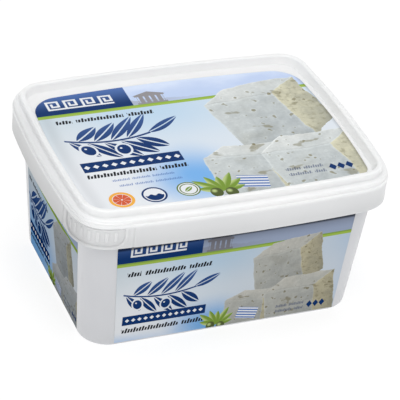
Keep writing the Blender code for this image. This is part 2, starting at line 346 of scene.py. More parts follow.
def tub_ring(plan, inset, height):
    half_x, half_y, radius, bow_x, bow_y = tub_sizes(height)
    return plan.ring(half_x - inset, half_y - inset, radius - inset, ROUND_POWER, bow_x, bow_y,
                     height)


def quarter_round(radius, steps):
    """Insets and drops at steps over a quarter round, from a wall to the top."""
    angles = [0.5 * math.pi * step / steps for step in range(steps + 1)]
    return [(radius * (1 - math.cos(angle)), radius * (1 - math.sin(angle)))
            for angle in angles]


# Modelling helpers


def object_mode():
    if bpy.context.mode != "OBJECT":
        bpy.ops.object.mode_set(mode="OBJECT")


def raise_rings(name, rings):
    """Start with a filled circle and extrude its face through the rings, bottom cap to top cap."""
    object_mode()
    bpy.ops.mesh.primitive_circle_add(vertices=len(rings[0]), radius=LID_HIGH.x, fill_type="NGON")
    piece = bpy.context.object
    piece.name = name
    piece.data.name = name
    bpy.ops.object.mode_set(mode="EDIT")
    bpy.ops.mesh.select_all(action="SELECT")
    shape_cap(piece, rings[0])
    for ring in rings[1:]:
        bpy.ops.mesh.extrude_region_move()
        shape_cap(piece, ring)
    bpy.ops.mesh.select_all(action="SELECT")
    bpy.ops.mesh.normals_make_consistent(inside=False)
    bpy.ops.object.mode_set(mode="OBJECT")
    return piece


def shape_cap(piece, ring):
    """Move the selected face's corners onto a ring of points."""
    mesh = bmesh.from_edit_mesh(piece.data)
    cap = next(face for face in mesh.faces if face.select)
    for vert, point in zip(cap.verts, ring):
        vert.co = point
    bmesh.update_edit_mesh(piece.data)


def finish_piece(piece, nodes, material, angle=50):
    """Smooth the piece, paint it and hand it to the frame in place of its CAD nodes."""
    bpy.ops.object.shade_smooth_by_angle(angle=math.radians(angle))
    piece.data.materials.append(material)
    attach(piece, "root")
    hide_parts(*nodes)


# Shader maths


class Field:
    """A socket of a material's node tree; arithmetic on it adds the nodes that work it out."""

    def __init__(self, painter, socket):
        self.painter = painter
        self.socket = socket

    def math(self, operation, *others):
        return self.painter.node("ShaderNodeMath", {"operation": operation}, (self, *others))

    __add__ = __radd__ = partialmethod(math, "ADD")
    __mul__ = __rmul__ = partialmethod(math, "MULTIPLY")
    __sub__ = partialmethod(math, "SUBTRACT")
    __truediv__ = partialmethod(math, "DIVIDE")
    __lt__ = partialmethod(math, "LESS_THAN")
    __gt__ = partialmethod(math, "GREATER_THAN")
    __or__ = partialmethod(math, "MAXIMUM")
    __abs__ = partialmethod(math, "ABSOLUTE")

    def __rsub__(self, other):
        return self.painter.node("ShaderNodeMath", {"operation": "SUBTRACT"}, (other, self))

    def near(self, middle, reach):
        """1 where the value lies within a reach of the middle."""
        return self.math("COMPARE", middle, reach)

    def within(self, low, high):
        return self.near(0.5 * (low + high), 0.5 * (high - low))

    def repeat(self, period):
        """The value within each period, from minus half to plus half of it."""
        return self.math("WRAP", 0.5 * period, -0.5 * period)

    def fade(self, start, end):
        """A soft step from 0 at start to 1 at end."""
        setting = {"interpolation_type": "SMOOTHSTEP"}
        return self.painter.node("ShaderNodeMapRange", setting, (self, start, end))


class Painter:
    """Builds the nodes of one material or group; a print's picture grows in its ground."""

    def __init__(self, name, tree=None):
        if tree is None:
            self.material = bpy.data.materials.new(name)
            self.material.use_nodes = True
            tree = self.material.node_tree
            self.shader = tree.nodes["Principled BSDF"]
        self.tree = tree
        self.ground = colours().paper

    def node(self, kind, setting=None, values=(), output=0):
        """Add a node, set it up, feed its sockets in order and return one output."""
        made = self.tree.nodes.new(kind)
        for key, value in (setting or {}).items():
            setattr(made, key, value)
        pairs = values.items() if isinstance(values, dict) else enumerate(values)
        for key, value in pairs:
            self.feed(made.inputs[key], value)
        return Field(self, made.outputs[output])

    def use(self, group, *values):
        """Add a reusable group, feed its sockets in order and return its outputs."""
        made = self.node("ShaderNodeGroup", {"node_tree": group}, values).socket.node
        return [Field(self, socket) for socket in made.outputs]

    def feed(self, socket, value):
        if isinstance(value, Field):
            self.tree.links.new(value.socket, socket)
        else:
            needs_alpha = socket.type == "RGBA" and len(value) == 3
            socket.default_value = (*value, 1) if needs_alpha else value

    def mix(self, base, top, factor):
        """The base colour with the top colour over it where the factor is 1."""
        values = {0: factor, 6: base, 7: top}
        return self.node("ShaderNodeMix", {"data_type": "RGBA"}, values, output=2)

    def scale(self, tone, factor):
        values = {"Vector": tone, "Scale": factor}
        return self.node("ShaderNodeVectorMath", {"operation": "SCALE"}, values)

    def lay(self, tone, mask):
        """Put a tone over the picture where the mask is 1."""
        self.ground = self.mix(self.ground, tone, mask)

    def dim(self, share):
        self.ground = self.scale(self.ground, share)

    def place(self, kind="Object"):
        return self.node("ShaderNodeTexCoord", output=kind)

    def split(self, vector):
        made = self.node("ShaderNodeSeparateXYZ", values=(vector,)).socket.node
        return [Field(self, made.outputs[axis]) for axis in range(3)]

    def join(self, x, y, z=0):
        return self.node("ShaderNodeCombineXYZ", values=(x, y, z))

    def noise(self, vector, scale, detail=3, roughness=0.5, output=0):
        values = {"Vector": vector, "Scale": scale, "Detail": detail, "Roughness": roughness}
        return self.node("ShaderNodeTexNoise", values=values, output=output)

    def bump(self, height, distance, strength):
        values = {"Strength": strength, "Distance": distance, "Height": height}
        return self.node("ShaderNodeBump", values=values)

    def wear(self, **values):
        """Set the shader's sockets, named with underscores for spaces."""
        for key, value in values.items():
            self.feed(self.shader.inputs[key.replace("_", " ")], value)


def make_group(name, numbers, tints, build):
    """A reusable node group; build turns its input fields into a list of output fields."""
    if name in bpy.data.node_groups:
        return bpy.data.node_groups[name]
    tree = bpy.data.node_groups.new(name, "ShaderNodeTree")
    p = Painter(name, tree)
    for words, kind in ((numbers, "NodeSocketFloat"), (tints, "NodeSocketColor")):
        for word in words.split():
            tree.interface.new_socket(word, in_out="INPUT", socket_type=kind)
    entry = tree.nodes.new("NodeGroupInput")
    results = build(p, *[Field(p, socket) for socket in list(entry.outputs)[:-1]])
    leave = tree.nodes.new("NodeGroupOutput")
    for number, result in enumerate(results):
        tree.interface.new_socket("Result %d" % number, in_out="OUTPUT",
                                  socket_type=result.socket.bl_idname)
        p.feed(leave.inputs[number], result)
    return tree


def darker(tone, share):
    return tuple(share * level for level in tone)


# Plastic

TAB_CORNER = -114.4 * MM


def make_plastic(name, white, roughness, shades, end_shade=0, seam_shade=0):
    """Satin moulded plastic: slight mottling, fine grain and uneven gloss. Its tone carries painted
    shade:
    it grows lighter with the height over the given spans, each with its start, its end and its
    share, darkens towards the left end, and has a painted shadow line in the seam over the pull
    tab."""
    p = Painter(name)
    place = p.place()
    broad = p.noise(place, 18, 2)
    fine = p.noise(place, 900, 2)
    tone = p.mix(darker(white, 0.965), white, broad.fade(0.35, 0.65))
    along, across, height = p.split(place)
    # Painted shade: darker towards the lid's left end, and lower down over each span.
    level = along.fade(LID_LOW.x, 0.88 * LID_LOW.x) * end_shade + (1 - end_shade)
    for start, end, share in shades:
        level = level + height.fade(start, end) * share - share
    # Painted shadow: a thin dark line in the seam over the pull tab.
    seam_shadow_line = height.near(tab_settings().field_top, 0.3 * MM) * (along + across < TAB_CORNER)
    tone = p.scale(tone, level - seam_shadow_line * seam_shade)
    p.wear(Base_Color=tone, Roughness=roughness + (broad - 0.5) * 0.12,
           Normal=p.bump(fine, 0.02 * MM, 0.35), IOR=1.49, Subsurface_Weight=1,
           Subsurface_Radius=(1, 1, 1), Subsurface_Scale=1 * MM)
    return p.material


# Printed motifs


def local(x, y, left, bottom, width, height=None):
    """Coordinates from a corner or centre, in units of a motif's width and height."""
    return (x - left) / width, (y - bottom) / (height or width)


def far_from(x, y, centre_x=0, centre_y=0, squash=1):
    """Distance from a centre, or from a flat oval's."""
    dx = x - centre_x
    dy = (y - centre_y) * squash
    return (dx * dx + dy * dy).math("SQRT")


def box_mask(x, y, left, right, bottom, top):
    return x.within(left, right) * y.within(bottom, top)


def build_leaf(p, x, y, centre_x, centre_y, cosine, sine, reach, width):
    dx = x - centre_x
    dy = y - centre_y
    along = (dx * cosine + dy * sine) / reach
    side = dy * cosine - dx * sine
    edge = width * (1 - along * along)
    return [abs(side) < edge, side]


def leaf_mask(x, y, centre_x, centre_y, degrees, reach, width):
    """A pointed leaf and the distance from its midrib."""
    angle = math.radians(degrees)
    group = make_group("leaf", "X Y Centre-X Centre-Y Cosine Sine Reach Width", "", build_leaf)
    return x.painter.use(group, x, y, centre_x, centre_y, math.cos(angle), math.sin(angle),
                         reach, width)


KEY_HOOKS = 4
KEY_STROKES = ((0, 8, 0, 1.1), (0, 1.1, 0, 7), (0, 6, 5.9, 7), (4.9, 6, 2, 7), (2, 6, 2, 3.1),
               (2, 3.1, 2, 5))


def key_mask(x, y):
    """A running row of square key hooks, each 7 high in a cell of 8."""
    cell = (x - 4).repeat(8) + 4
    found = 0
    for stroke in KEY_STROKES:
        found = box_mask(cell, y, *stroke) | found
    return found * x.within(0, 8 * KEY_HOOKS - 2)


def temple_mask(x, y):
    """A small temple front, one wide and one high: steps, columns and a low gable."""
    columns = x.repeat(0.2).near(0, 1 / 14) * box_mask(x, y, 0.06, 0.94, 0, 0.62)
    beam = box_mask(x, y, 0, 1, 0.62, 0.72)
    rise = (y - 0.72) / 0.28
    gable = (abs(x - 0.5) / 0.55 + rise < 1) * (rise > 0)
    return box_mask(x, y, 0, 1, 0, 0.12) | columns | beam | gable


def branch_mask(x, y, reach):
    """A curved olive branch, one high: leaves along a stem, and its round fruit."""
    side = y + 0.05 - x * x * (0.13 / reach ** 2)
    body = side.near(0, 0.018) * x.within(-reach, 0.84 * reach)
    for number in range(10):
        share = -0.93 + 0.175 * number
        way = 1 if number % 2 else -1
        degrees = 46
        length = 0.33 - 0.1 * abs(share)
        if number == 9:
            degrees, share = 6, 0.78
        angle = math.radians(degrees)
        leaf, rib = leaf_mask(x, side, share * reach + length * math.cos(angle),
                              way * (length * math.sin(angle) + 0.012), way * degrees, length,
                              0.088)
        body = body | leaf * (1 - rib.near(0, 0.01))
    for share, drop in ((-0.62, 0.2), (0.1, 0.22)):
        fruit = far_from(x, side, share * reach, -drop, 0.82)
        shine = far_from(x, side, share * reach - 0.03, 0.035 - drop)
        body = body * (1 - (fruit < 0.12)) | (fruit < 0.09) * (shine > 0.018)
    return body


def build_ticks(p, x, y, middle, height):
    rise = y - middle
    lean = (x - rise * 0.2) / (height * 0.5)
    tick = abs(lean.repeat(1)) < 0.35
    beat = ((lean + 0.5).math("FLOOR") * 2.3).math("SINE")
    tall = abs(rise - height * beat * 0.07) < height * (beat * 0.1 + 0.42)
    return [tick * tall]


def ticks_mask(x, y, left, right, middle, height, words):
    """A row of small slanted ticks in groups; words gives the share that each group takes."""
    gap = 0.65 * height
    room = right - left - gap * (len(words) - 1)
    groups = 0
    for word in words:
        end = left + room * word / sum(words)
        groups = x.within(left, end) | groups
        left = end + gap
    group = make_group("ticks", "X Y Middle Height", "", build_ticks)
    return groups * x.painter.use(group, x, y, middle, height)[0]


def build_face(p, x, y, corner_x, corner_y, s_x, s_y, t_x, t_y, turn, mottle, flaws, relief,
               ground, light, dark, flaw):
    dx = x - corner_x
    dy = y - corner_y
    s = dx * s_x + dy * s_y
    t = dx * t_x + dy * t_y
    level = t * turn + (1 - s) * 0.4 + mottle * 0.4
    tone = p.mix(dark, light, level.fade(0.05, 1.05))
    tone = p.mix(tone, flaw, flaws)
    edge = 1 - t.fade(0, 0.1)
    glint = 1 - s.fade(0, 0.04) * (1 - s).fade(0, 0.04) * (1 - t).fade(0, 0.06)
    tone = p.scale(tone, 1 + relief - edge * 0.15 + glint * 0.14)
    return [p.mix(ground, tone, s.near(0.5, 0.5) * t.near(0.5, 0.5))]


class PrintPlan:
    """Where the motifs of one film go, in millimetres, and how strong the painted shade on it is.
    """
    bottom, stripe, top = 0, 46.6, 61
    stripe_width, first_row, second_row = 2, 39.7, 7.2
    shade, eave, eave_shade = 1, 61, 0
    dusk = stripe_shade = low_sky = far_sky = right_shade = gloss = 0

    def __init__(self, **values):
        vars(self).update(values)
        self.width = self.right - self.left


LID_PLAN = PrintPlan(
    left=-68, right=65.8, bottom=-49, stripe=28.9, top=45.5, stripe_width=2.4,
    glow=(0.42, 0.22, 0.26, 0.4), key=(-60.5, 32.8, 7.4), block=(-60.5, -14), tick=3,
    first_row=22, second_row=-22.6, branch=(-9.5, 18.4), bar=(-19, -11.5),
    cubes=((17, -16, 36, 38, 8, 16, 10),
           (-7, -51, 29, 31, -3, 13, 8),
           (25, -59, 35, 37, 4, 15, 10)),
    cheese_dim=(0.9, 0.91, 0.9), tile=(9.5, -42, 14), sprig=(-6, -45, 11.5),
    mark=(27, 59, -39.5, 3), gloss=0.1)

LONG_WALL_PLAN = PrintPlan(
    left=-55, right=57, glow=(0.42, 0.08, 0.22, 0.42), key=(-49, 49.6, 6),
    block=(-49.5, -10), tick=2.7, branch=(17, 36.2), bar=(10.6, 15.8),
    cubes=((14, 16, 23, 23, 8, 10, 6),
           (-1, -4, 19, 20, -3, 9, 5),
           (21, -7, 24, 24, 4, 10, 6.5)),
    cheese_dim=(0.66, 0.635, 0.585), tile=(11, 6.5, 10), sprig=(-4, 3, 8.5),
    mark=(25, 50, 5.5, 2.2), gloss=0.03, shade=0.82, right_shade=0.14, dusk=0.8, stripe_shade=0.25,
    eave=54.4, eave_shade=0.75, low_sky=0.7, far_sky=0.25)

SHORT_WALL_PLAN = PrintPlan(
    left=-36.6, right=36.6, glow=(0.1, 0.1, 0.9, 0.9), key=(-33, 49.8, 4.4),
    block=(-34, -4), tick=2.2, branch=(16, 40), bar=(9.6, 15.6),
    cubes=((7, 15, 18, 23, 6, 7, 6),
           (0, -4, 15, 18, -3, 7, 5),
           (17, -6, 18, 21, 4, 7, 6)),
    cheese_dim=(0.62, 0.63, 0.64), tile=(8, 6, 8), sprig=(-2, 3, 6.5),
    mark=(16, 34, 5.5, 2), shade=0.58, dusk=0.4)


def lay_sky(p, x, y, plan, ink):
    """White ground at the left that turns pale blue, with a strong blue glow low down."""
    drift = (p.noise(p.join(x, y), 3 / plan.width, 2) - 0.5) * 0.2
    across, up = local(x, y, plan.left, plan.bottom, plan.width, plan.stripe - plan.bottom)
    across = across + drift
    p.lay(ink.mist, (up - across * 1.2).fade(0.25, 1.1))
    p.lay(ink.pale_sky, (across + up * 0.12).fade(0.1, 0.5) * (up.fade(0.5, 0.95) * 0.6 + 0.4))
    p.lay(ink.paper, (across + up * 0.2).fade(0.55, 1) * 0.5)
    far = far_from(*local(across, up, *plan.glow))
    p.lay(ink.azure, 1 - far.fade(0.05, 1))
    low = (1 - up.fade(-0.04, 0.16)) * (1 - across.fade(0, 0.4))
    p.lay(ink.azure, low * plan.low_sky)
    p.lay(ink.azure, across.fade(0.8, 1.05) * plan.far_sky)
    # Painted shade: the ground darkens towards the right by the plan's share.
    p.dim(1 - across.fade(0.1, 0.6) * plan.right_shade)


def lay_band(p, x, y, plan, ink):
    """Sky band with a key pattern on a deep blue field, over a lime stripe; on the walls painted
    shade darkens the band and the stripe, most at the top under the lid's skirt.
    """
    height = plan.top - plan.stripe
    up = (y - plan.stripe) / height
    haze = p.noise(p.join(x * 0.6, y), 0.09)
    sky = p.mix(ink.lavender, ink.cloud, (up + (haze - 0.5) * 1.1).fade(0.35, 1.1))
    field_right = plan.left + 0.352 * plan.width
    away = (x - field_right) / plan.width
    ridge = p.noise(p.join(x, 0), 12 / plan.width) * 0.5 - away * 0.5
    hill = p.mix(ink.stone, ink.lavender, away.fade(0, 0.35) * 0.5 + 0.5)
    sky = p.mix(sky, hill, 1 - (up - ridge).fade(-0.02, 0.03))
    temple = temple_mask(*local(x, y, field_right + 0.018 * plan.width, plan.stripe,
                                0.11 * plan.width, 0.62 * height))
    sky = p.mix(sky, ink.stone, temple)
    # Painted shade over the sky band, stronger towards its top under the lid.
    sky = p.mix(sky, ink.dusk, (up.fade(0.1, 1) * 0.6 + 0.6) * plan.dusk)
    left, bottom, size = plan.key
    blue = p.mix(ink.navy, ink.navy_light, up.fade(0.1, 1.15))
    blue = p.mix(blue, ink.paper, key_mask(*local(x, y, left, bottom, size / 7)))
    p.lay(p.mix(sky, blue, x < field_right), y > plan.stripe)
    # Painted shadow under the lid's skirt along the top of the film.
    p.dim(1 - y.fade(plan.eave - 1.2, plan.eave) * plan.eave_shade)
    rise = (y - plan.stripe) / plan.stripe_width
    lime = p.mix(ink.lime, darker(ink.lime, 0.62), rise.fade(-0.1, 0.55))
    # Painted shade over the lime stripe.
    lime = p.mix(lime, ink.dusk, plan.stripe_shade)
    lime = p.mix(lime, ink.lime_light, 1 - rise.fade(-0.5, -0.25))
    p.lay(lime, rise.within(-1, 0))


def lay_block(p, x, y, plan, ink):
    """The branch, the bar and the rows of ticks at the left."""
    left, right = plan.block
    middle = 0.5 * (left + right)
    rows = ticks_mask(x, y, left, right, plan.first_row, plan.tick, (3, 9, 5))
    rows = rows | ticks_mask(x, y, left, right, plan.second_row, plan.tick, (10, 4))
    p.lay(ink.ink, rows)
    low, high = plan.branch
    size = 1.22 * (high - low)
    along, side = local(x, y, middle - 0.05 * (right - left), 0.5 * (low + high), size)
    blue = p.mix(ink.navy, ink.navy_light, y.fade(low, 2 * high - low))
    p.lay(blue, branch_mask(along, side, 0.47 * (right - left) / size))
    low, high = plan.bar
    size = high - low
    pitch = 0.56 * size
    bead = abs((x - middle).repeat(pitch)) + abs(y - 0.5 * (low + high)) < 0.2 * size
    bead = bead * x.near(middle, 6.5 * pitch)
    p.lay(p.mix(ink.navy, ink.paper, bead), box_mask(x, y, left, right, low, high))


def lay_cheese(p, x, y, plan, ink):
    """Crumbly cheese cubes in three-quarter view, back to front."""
    size = plan.cubes[0][2]
    grain = 25 / size
    flat = p.join(x, y)
    broad = p.split(p.noise(flat, 0.1 * grain, 2, output="Color"))
    rough = p.split(p.noise(flat, 0.6 * grain, 3, 0.6, output="Color"))
    rough_x, rough_y = [place + (wide - 0.5) * (0.12 * size) + (fine - 0.5) * (0.03 * size)
                        for place, wide, fine in zip((x, y), broad, rough)]
    mottle = p.noise(flat, 0.1 * grain, 4, 0.6).fade(0.3, 0.7)
    shift = 0.035 * size
    lit = p.noise(flat, 0.2 * grain, 3, 0.45)
    shade = p.noise(p.join(x + shift, y - shift), 0.2 * grain, 3, 0.45)
    crumbs = p.noise(flat, 1.1 * grain, 2)
    pits = p.noise(flat, 0.38 * grain, 1, 0.3)
    pocks = p.noise(p.join(x * 0.7, y * 1.2 + 17), 0.14 * grain)
    stain = p.noise(p.join(x + 40, y), 0.07 * grain, 2).fade(0.5, 0.75)
    flaws = pits.fade(0.68, 0.74) * 0.75 + pocks.fade(0.62, 0.67) * 0.6 + stain * 0.22
    relief = ((lit - shade) * 0.3 + (crumbs - 0.5) * 0.22
              + (pits.fade(0.62, 0.67) - pits.fade(0.67, 0.7)) * 0.1)
    rind = p.noise(p.join(x, y + 70), 0.5 * grain, 3, 0.6).fade(0.52, 0.68)
    group = make_group("face", "X Y Corner-X Corner-Y S-X S-Y T-X T-Y Turn Mottle Flaws Relief",
                       "Ground Light Dark Flaw", build_face)

    def face(corner, first, second, light, dark, turn, crust=0):
        """Paint the slanted square that the two edges span from the corner."""
        spread = first.cross(second)
        dimmed = [[share * level for share, level in zip(plan.cheese_dim, tone)]
                  for tone in (light, dark, ink.pit)]
        p.ground = p.use(group, rough_x, rough_y, *corner, second.y / spread,
                         -second.x / spread, -first.y / spread, first.x / spread, turn,
                         mottle, flaws + rind * crust, relief, p.ground, *dimmed)[0]

    for left, bottom, width, height, lean, deep_x, deep_y in plan.cubes:
        tilt = Matrix.Rotation(math.radians(lean), 2)
        corner = Vector((left, bottom))
        wide = tilt @ Vector((width, -0.05 * width))
        high = tilt @ Vector((-0.04 * height, height))
        deep = tilt @ Vector((deep_x, deep_y))
        face(corner + wide, deep, high, ink.cream, ink.cream_shade, 0.4, crust=0.45)
        face(corner + high, wide, deep, ink.curd_top, ink.curd, 0.2)
        face(corner, wide, high, ink.curd, ink.curd_shade, 0.5)


def lay_cloth(p, x, y, plan, ink):
    """A small cloth with blue and white stripes."""
    x, y = local(x, y, *plan.tile)
    lean = math.radians(-12)
    along = x * math.cos(lean) + y * math.sin(lean)
    side = y * math.cos(lean) - x * math.sin(lean)
    cloth = p.mix(ink.paper, ink.navy_light, side.repeat(0.15) > 0)
    p.lay(cloth, along.near(0, 0.5) * side.near(0, 0.33))


def lay_sprig(p, x, y, plan, ink):
    """Green olive leaves round a centre, with two olives on them."""
    x, y = local(x, y, *plan.sprig)
    for number in range(7):
        degrees = 8 + 26 * number
        reach = 0.5 + 0.09 * (number % 3)
        angle = math.radians(degrees)
        leaf, rib = leaf_mask(x, y, 0.95 * reach * math.cos(angle),
                              0.8 * reach * math.sin(angle), degrees, reach, 0.17)
        p.lay(p.mix(ink.leaf, ink.leaf_light, rib.fade(-0.04, 0.12)), leaf)
    for shift_x, shift_y in ((-0.28, -0.1), (0.3, -0.2)):
        shine = far_from(x, y, shift_x - 0.07, shift_y + 0.1)
        skin = p.mix(ink.leaf_light, ink.olive, shine.fade(0.02, 0.16))
        p.lay(skin, far_from(x, y, shift_x, shift_y, 0.85) < 0.25)


def roundel(p, place, tone, hole):
    """A round ring with a white middle; returns the place and its distances."""
    far = far_from(*place)
    p.lay(tone, far < 1)
    p.lay(colours().paper, far < hole)
    return *place, far


def lay_lid_marks(p, x, y, plan, ink):
    """What only the lid's film has: ticks, roundels and painted shade along its two ends."""
    small = ticks_mask(x, y, -51, -22, -27.5, 1.6, (4, 4, 5))
    small = small | ticks_mask(x, y, -49, -20, -31.8, 1.6, (3, 4, 6))
    p.lay(ink.navy_light, small * 0.7)
    u, v, far = roundel(p, local(x, y, -51.5, -42, 5.7), ink.orange, 0.75)
    segment = abs(v.math("ARCTAN2", u).repeat(0.25 * math.pi)) < 0.37
    p.lay(ink.coral, (far < 0.7) * segment * (far > 0.08))
    u, v, far = roundel(p, local(x, y, -36.5, -41.6, 5.7), ink.navy, 0.84)
    sea = v - (x * (2 * math.pi / 3.534)).math("SINE") * 0.09
    p.lay(ink.navy, sea.within(-0.9, 0) * (far < 0.74))
    green = darker(ink.leaf, 0.6)
    u, v, far = roundel(p, local(x, y, -20.5, -41, 5.3), green, 0.88)
    p.lay(green, far.near(0.72, 0.05))
    leaf, rib = leaf_mask(u, v, 0, 0, 40, 0.52, 0.22)
    p.lay(ink.leaf, leaf * (abs(rib) > 0.03))
    # Painted shade: a soft shadow of the rim near the film's left end and a dark line along its
    # right edge.
    bow = (y + 2.9) / 45.5
    bow = bow * bow * 2.5
    inward = x + 68.4 - bow
    shade = (inward.fade(0, 3.5) - inward.fade(3.5, 9)) * y.within(-46, 28)
    edge = 1 - (plan.right - bow - x).fade(0, 2)
    p.dim(1 - shade * 0.1 - edge * 0.3)


def lay_marks(p, x, y, plan, ink):
    """Small ticks and three bold lozenges at the lower right."""
    left, right, middle, height = plan.mark
    split = between(left, right, 0.56)
    small = ticks_mask(x, y, left, split, middle + 0.75 * height, 0.75 * height, (3, 4))
    small = small | ticks_mask(x, y, left, split, middle - 0.6 * height, 0.75 * height, (4, 2))
    p.lay(ink.navy, small * 0.6)
    pitch = (right - split) / 3.5
    cell = (x - split - pitch).repeat(pitch)
    bold = abs(cell) * 1.1 + abs(y - middle) * 0.8 < 0.52 * pitch
    p.lay(ink.navy, bold * x.near(split + 2 * pitch, 1.49 * pitch))


UV_WIDTH = 120
UV_HEIGHT = 62


def make_print(name, plan):
    """A glossy printed film whose art is worked out from the place on it."""
    p = Painter(name)
    layers = [lay_sky, lay_band, lay_block, lay_cheese, lay_cloth, lay_sprig, lay_marks]
    if plan is LID_PLAN:
        x, y = [axis * (1 / MM) for axis in p.split(p.place())[:2]]
        layers.insert(-1, lay_lid_marks)
    else:
        u, v = p.split(p.place("UV"))[:2]
        x, y = (u - 0.5) * UV_WIDTH, v * UV_HEIGHT
    for lay in layers:
        lay(p, x, y, plan, colours())
    # Painted shade: the whole film is darkened by the plan's share.
    p.dim(plan.shade)
    grain = p.noise(p.place(), 700, 2)
    p.wear(Base_Color=p.ground, Roughness=0.32 + (grain - 0.5) * 0.08,
           Normal=p.bump(grain, 0.01 * MM, 0.06), Specular_IOR_Level=plan.gloss)
    return p.material


# Pieces


class TUB_OT_tub(bpy.types.Operator):
    """Model the drafted tub with its flange under the lid"""
    bl_idname = "cheese_tub.tub"
    bl_label = "Tub"

    def execute(self, context):
        s = settings()
        plan = RingPlan(corner_steps=18, side_steps=16)
        rings = [tub_ring(plan, s.base_round + 2 * MM, 0)]
        rings += [tub_ring(plan, inset, drop)
                  for inset, drop in quarter_round(s.base_round, 6)[::-1]]
        levels = 24
        rings += [tub_ring(plan, 0, between(s.base_round, s.flange_bottom, level / levels))
                  for level in range(1, levels + 1)]
        flange = skirt_half()[0] - (TUB_HIGH.x - s.skirt_bow_x)
        edge = 0.5 * MM
        rings += [skirt_ring(plan, flange + inset, height)
                  for inset, height in ((0, s.flange_bottom), (0, TUB_HIGH.z - edge),
                                        (edge, TUB_HIGH.z), (4 * edge, TUB_HIGH.z))]
        piece = raise_rings("tub_body", rings)
        # Painted shade: the tub's plastic grows a little darker towards its foot.
        plastic = make_plastic("tub_plastic", colours().tub_white, 0.38,
                               [(0, 0.3 * LID_LOW.z, 0.03)])
        finish_piece(piece, ["tub"], plastic)
        return {"FINISHED"}


def smooth_step(value, start, end):
    share = min(max((value - start) / (end - start), 0), 1)
    return share * share * (3 - 2 * share)


def tray_distance(across, height, half, bottom, top, radius):
    """Signed distance to a panel whose two lower corners are round; negative is inside."""
    side = abs(across) - half
    low = bottom - height
    high = height - top
    if side > -radius and low > -radius:
        return max(math.hypot(side + radius, low + radius) - radius, high)
    return max(side, low, high)


class TabRelief:
    """The skirt's rings with the relief of the pull tab and its two tear slits."""
    soft = 0.17 * MM
    beside = 40

    def __init__(self, plan):
        self.plan = plan
        spots = skirt_ring(plan, 0, 0)
        first = sum(len(plan.angles[q]) + len(plan.shares[q]) for q in range(TAB_QUARTER))
        last = first + len(plan.angles[TAB_QUARTER]) - 1
        along = {}
        self.out = {}
        far = 0
        for index in range(first - self.beside + 1, last + self.beside):
            far += (spots[index] - spots[index - 1]).length
            along[index] = far
            run = (spots[index + 1] - spots[index - 1]).normalized()
            self.out[index] = Vector((run.y, -run.x, 0))
        middle = 0.5 * (along[first] + along[last])
        self.half = middle - along[first] - tab_settings().end
        self.across = {index: far - middle for index, far in along.items()}

    def lift(self, across, height):
        """How far the skirt stands out at a place beside the tab's middle."""
        t = tab_settings()
        soft = self.soft
        below = 1 * MM
        frame = tray_distance(across, height, self.half, LID_LOW.z - below, t.frame_top,
                              t.frame_round + below)
        lift = t.frame_lift * (1 - smooth_step(frame, -2 * soft, soft))
        field = tray_distance(across, height, self.half - t.frame, t.field_bottom, t.field_top,
                              t.field_round)
        sunk = 1 - smooth_step(field, -1.4 * soft, 1.4 * soft)
        seam = smooth_step(height, t.field_top - t.seam, t.field_top - 0.5 * t.seam)
        lift += sunk * (self.rib(across, height) - t.frame_lift - t.depth - t.seam_depth * seam)
        notch = abs(abs(across) - (self.half + t.notch_gap)) - 0.5 * t.notch_width
        slit = 1 - smooth_step(notch, -1.5 * soft, 0.5 * soft)
        slit *= 1 - smooth_step(height, t.notch_top - 2 * soft, t.notch_top)
        return lift - t.notch_depth * slit

    def rib(self, across, height):
        t = tab_settings()
        reach = t.rib_span * (self.half - t.frame)
        pitch = 2 * reach / (t.rib_count - 1)
        nearest = round((across + reach) / pitch)
        if not 0 <= nearest < t.rib_count:
            return 0
        side = abs(across + reach - nearest * pitch)
        middle = 0.5 * (t.rib_bottom + t.rib_top)
        run = 0.5 * (t.rib_top - t.rib_bottom - t.rib_width)
        far = math.hypot(side, max(abs(height - middle) - run, 0))
        return t.rib_lift * (1 - smooth_step(far, 0.28 * t.rib_width, 0.68 * t.rib_width))

    def skirt(self, inset, height):
        """A ring of the skirt with the pull tab's relief."""
        ring = skirt_ring(self.plan, inset, height)
        for index, across in self.across.items():
            ring[index] += self.out[index] * self.lift(across, height)
        return ring

    def groove(self, inset, height):
        """A ring of the groove over the bead, which dies away over the pull tab."""
        ring = skirt_ring(self.plan, inset, height)
        whole = skirt_ring(self.plan, 0, height)
        for index, across in self.across.items():
            away = smooth_step(abs(across), self.half - 2 * MM, self.half + 6 * MM)
            ring[index] = ring[index].lerp(whole[index], 1 - away)
        return ring


